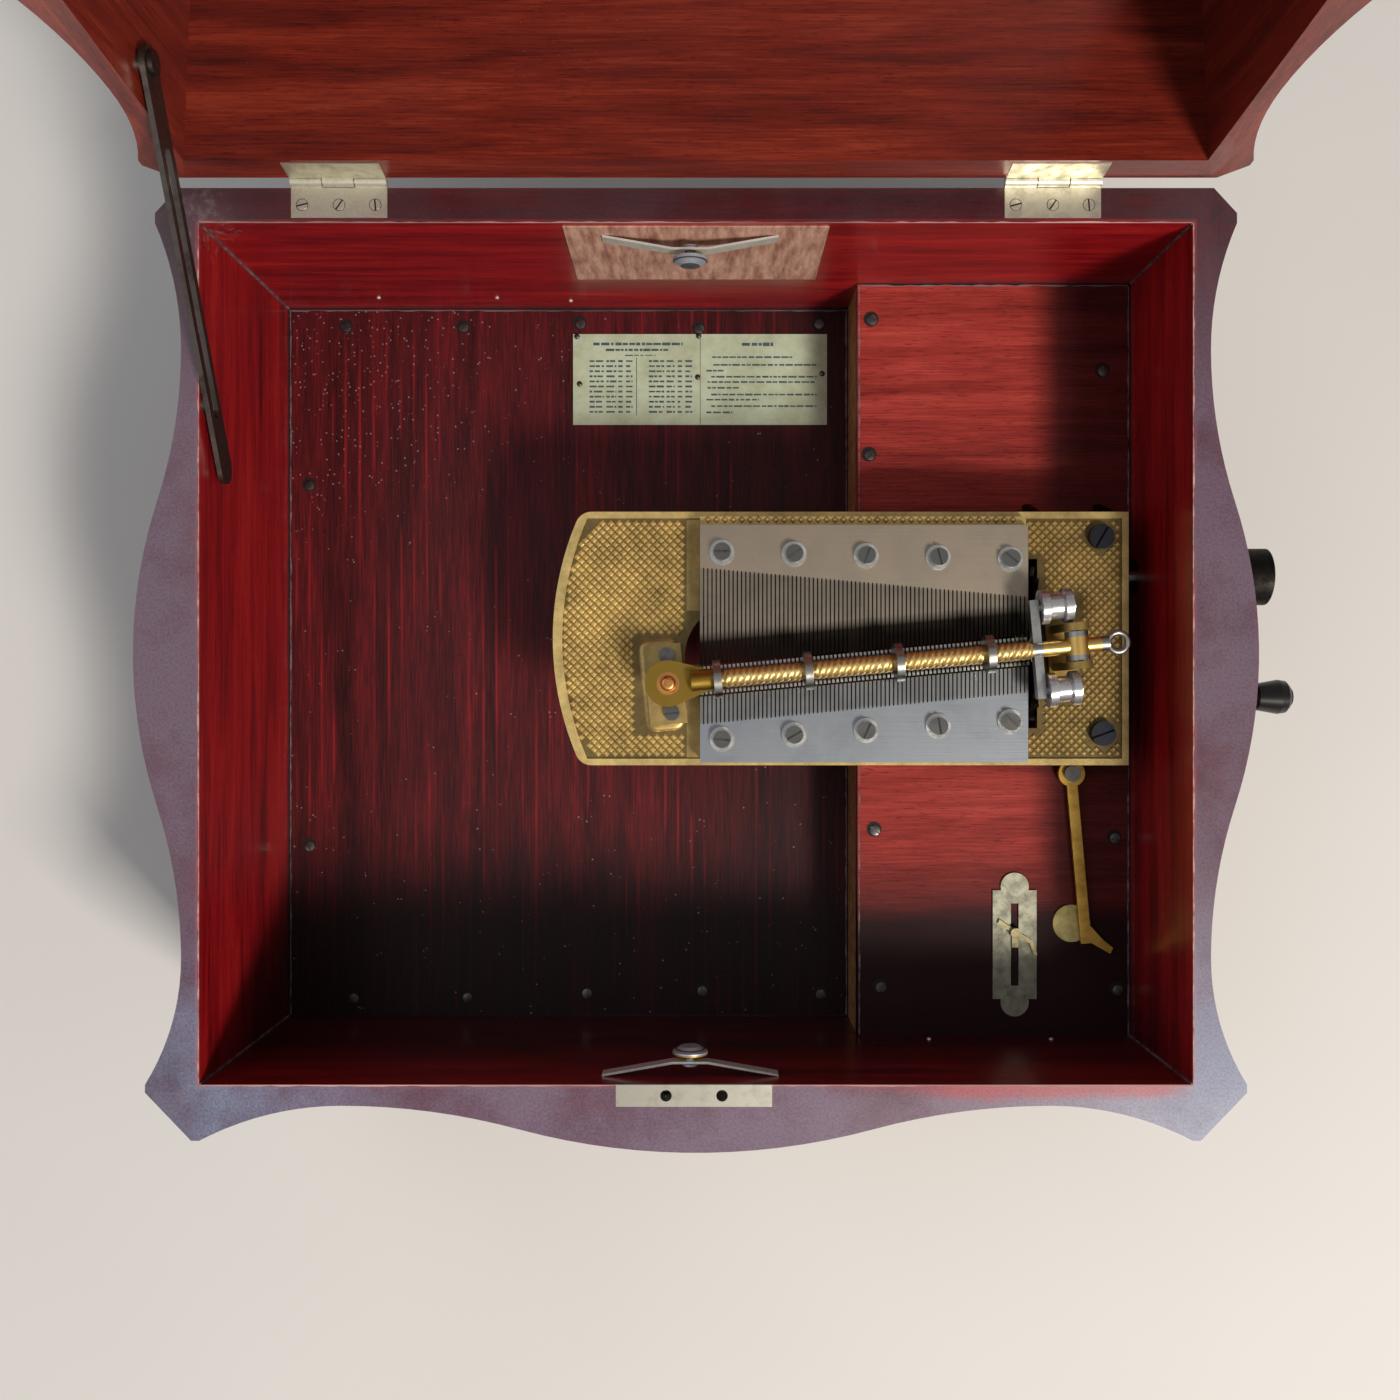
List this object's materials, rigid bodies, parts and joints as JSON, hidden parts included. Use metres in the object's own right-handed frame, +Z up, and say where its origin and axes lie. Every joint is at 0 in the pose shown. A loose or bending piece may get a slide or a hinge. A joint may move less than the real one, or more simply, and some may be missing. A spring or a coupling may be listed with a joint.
{
  "type": "disc music box",
  "caption": "Table-top disc music box with serpentine mahogany case and open lid; tuned steel combs, star wheels, pressure bar, spring motor with side crank, stop lever and speed pointer.",
  "frame": {"origin": "on the table under the middle of the case's inside", "axes": "+X to the crank, +Y to the hinges, +Z up"},
  "size_m": [0.6267, 0.646, 0.6723],
  "materials": {
    "mahogany_case": "French polished red mahogany",
    "mahogany_lid": "French polished red mahogany",
    "bare_wood": "plain softwood, unpolished",
    "soundboard_wood": "dark stained spruce, satin",
    "deck_wood": "polished red mahogany",
    "paper": "matt paper card",
    "gilt_iron": "bronze-gilt cast iron with a fine diamond field",
    "comb_steel": "ground tempered steel",
    "bright_steel": "nickel plated, polished",
    "blued_steel": "dark blued steel",
    "dark_steel": "blackened steel",
    "brass": "lacquered brass",
    "ivory": "ivorine",
    "knob_wood": "turned and black polished"
  },
  "bodies": {
    "case": {"bottom_board": "bare_wood", "base_moulding": "mahogany_case", "front_wall": "mahogany_case", "back_wall": "mahogany_case", "left_wall": "mahogany_case", "right_wall": "mahogany_case", "corner_posts": "mahogany_case", "board_supports": "bare_wood", "soundboard": "soundboard_wood", "motor_deck": "deck_wood", "paper_cards": "paper", "buffer_springs": "bright_steel", "lock": "brass", "hinge_case_leaves": "brass", "stay_pin": "bright_steel", "crank_bush": "bright_steel", "bedplate": "gilt_iron", "bedplate_bolts": "blued_steel", "rear_comb": "comb_steel", "front_comb": "comb_steel", "movement_screws": "bright_steel", "star_wheel_brackets": "bright_steel", "centre_spindle": "bright_steel", "bar_bracket": "gilt_iron", "motor_frame": "dark_steel", "stop_disc": "ivory", "speed_plate": "brass"},
    "lid": {"lid_front_rail": "mahogany_lid", "lid_back_rail": "mahogany_lid", "lid_side_rails": "mahogany_lid", "lid_top": "mahogany_lid", "lid_link_plate": "bright_steel", "hinge_lid_leaves": "brass", "stay_stud": "bright_steel"},
    "stay": {"lid_stay": "bright_steel"},
    "pressure_bar": {"pressure_bar": "brass", "bar_end_plate": "brass"},
    "star_row": {"star_wheels": "bright_steel"},
    "barrel": {"spring_barrel": "brass", "mainspring": "blued_steel"},
    "drive": {"sprocket_arbor": "bright_steel", "drive_sprocket": "dark_steel"},
    "worm_wheel": {"worm_wheel_arbor": "bright_steel"},
    "governor": {"governor": "bright_steel"},
    "crank": {"winding_arbor": "bright_steel", "crank_arm": "bright_steel"},
    "knob": {"crank_knob": "knob_wood"},
    "click": {"ratchet_click": "bright_steel"},
    "stop_lever": {"stop_lever": "brass"},
    "speed_slider": {"speed_slider": "brass"},
    "lock_bolt": {"lock_bolt": "bright_steel"},
    "back_button": {"back_buffer_button": "bright_steel"},
    "front_button": {"front_buffer_button": "bright_steel"},
    "roller_1": {"pressure_roller_1": "bright_steel"},
    "roller_2": {"pressure_roller_2": "bright_steel"},
    "roller_3": {"pressure_roller_3": "bright_steel"},
    "roller_4": {"pressure_roller_4": "bright_steel"},
    "edge_roller_front": {"edge_roller_front": "bright_steel"},
    "edge_roller_back": {"edge_roller_back": "bright_steel"}
  },
  "joints": [
    {"name": "lid_hinge", "type": "hinge", "parent": "case", "child": "lid", "pos_m": [0, 0.2355, 0.1905], "axis": [-1, 0, 0], "range_deg": [-96, 0]},
    {"name": "lid_stay_pivot", "type": "hinge", "parent": "lid", "child": "stay", "pos_m": [-0.24425, 0.26124, 0.26321], "axis": [1, 0, 0], "range_deg": [-95, 0]},
    {"name": "pressure_bar_hinge", "type": "hinge", "parent": "case", "child": "pressure_bar", "pos_m": [0.19661, 0.0049, 0.167], "axis": [-0.0915, 0.9958, 0], "range_deg": [0, 55]},
    {"name": "pressure_roller_1_spin", "type": "hinge", "parent": "pressure_bar", "child": "roller_1", "pos_m": [0.01099, -0.01216, 0.167], "axis": [0.9958, 0.0915, 0], "continuous": true},
    {"name": "pressure_roller_2_spin", "type": "hinge", "parent": "pressure_bar", "child": "roller_2", "pos_m": [0.0577, -0.00787, 0.167], "axis": [0.9958, 0.0915, 0], "continuous": true},
    {"name": "pressure_roller_3_spin", "type": "hinge", "parent": "pressure_bar", "child": "roller_3", "pos_m": [0.1044, -0.00358, 0.167], "axis": [0.9958, 0.0915, 0], "continuous": true},
    {"name": "pressure_roller_4_spin", "type": "hinge", "parent": "pressure_bar", "child": "roller_4", "pos_m": [0.1511, 0.00072, 0.167], "axis": [0.9958, 0.0915, 0], "continuous": true},
    {"name": "edge_roller_front_spin", "type": "hinge", "parent": "pressure_bar", "child": "edge_roller_front", "pos_m": [0.18912, -0.01738, 0.1665], "axis": [0.9958, 0.0915, 0], "continuous": true},
    {"name": "edge_roller_back_spin", "type": "hinge", "parent": "pressure_bar", "child": "edge_roller_back", "pos_m": [0.18518, 0.02544, 0.1665], "axis": [0.9958, 0.0915, 0], "continuous": true},
    {"name": "star_wheels_spin", "type": "hinge", "parent": "case", "child": "star_row", "pos_m": [0.08508, -0.00535, 0.1475], "axis": [0.9958, 0.0915, 0], "continuous": true},
    {"name": "barrel_spin", "type": "hinge", "parent": "case", "child": "barrel", "pos_m": [0.205, 0.0468, 0.095], "axis": [1, 0, 0], "continuous": true},
    {"name": "sprocket_spin", "type": "hinge", "parent": "case", "child": "drive", "pos_m": [0.205, 0.00735, 0.11126], "axis": [1, 0, 0], "continuous": true},
    {"name": "worm_wheel_spin", "type": "hinge", "parent": "case", "child": "worm_wheel", "pos_m": [0.205, -0.01445, 0.10392], "axis": [1, 0, 0], "continuous": true},
    {"name": "governor_spin", "type": "hinge", "parent": "case", "child": "governor", "pos_m": [0.203, -0.02995, 0.1], "axis": [0, 0, 1], "continuous": true},
    {"name": "crank_spin", "type": "hinge", "parent": "case", "child": "crank", "pos_m": [0.26, 0.0468, 0.095], "axis": [1, 0, 0], "continuous": true},
    {"name": "crank_knob_spin", "type": "hinge", "parent": "crank", "child": "knob", "pos_m": [0.325, -0.0212, 0.095], "axis": [1, 0, 0], "continuous": true},
    {"name": "click_pivot", "type": "hinge", "parent": "case", "child": "click", "pos_m": [0.223, 0.0688, 0.111], "axis": [1, 0, 0], "range_deg": [-10, 0]},
    {"name": "stop_lever_pivot", "type": "hinge", "parent": "case", "child": "stop_lever", "pos_m": [0.2128, -0.0647, 0.093], "axis": [0, 0, 1], "range_deg": [-10, 0]},
    {"name": "speed_slide", "type": "slide", "parent": "case", "child": "speed_slider", "axis": [0, 1, 0], "range_m": [-0.0215, 0.0145]},
    {"name": "lock_bolt_slide", "type": "slide", "parent": "case", "child": "lock_bolt", "axis": [1, 0, 0], "range_m": [0, 0.006]},
    {"name": "back_button_press", "type": "slide", "parent": "case", "child": "back_button", "axis": [0, 1, 0], "range_m": [0, 0.003], "stiffness_N_per_m": 600},
    {"name": "front_button_press", "type": "slide", "parent": "case", "child": "front_button", "axis": [0, -1, 0], "range_m": [0, 0.003], "stiffness_N_per_m": 600}
  ],
  "couplings": [
    {"joint": "lid_stay_pivot", "follows": "lid_hinge", "ratio": 0.9273},
    {"joint": "barrel_spin", "follows": "sprocket_spin", "ratio": -0.33333},
    {"joint": "worm_wheel_spin", "follows": "sprocket_spin", "ratio": -4},
    {"joint": "governor_spin", "follows": "sprocket_spin", "ratio": -40}
  ]
}
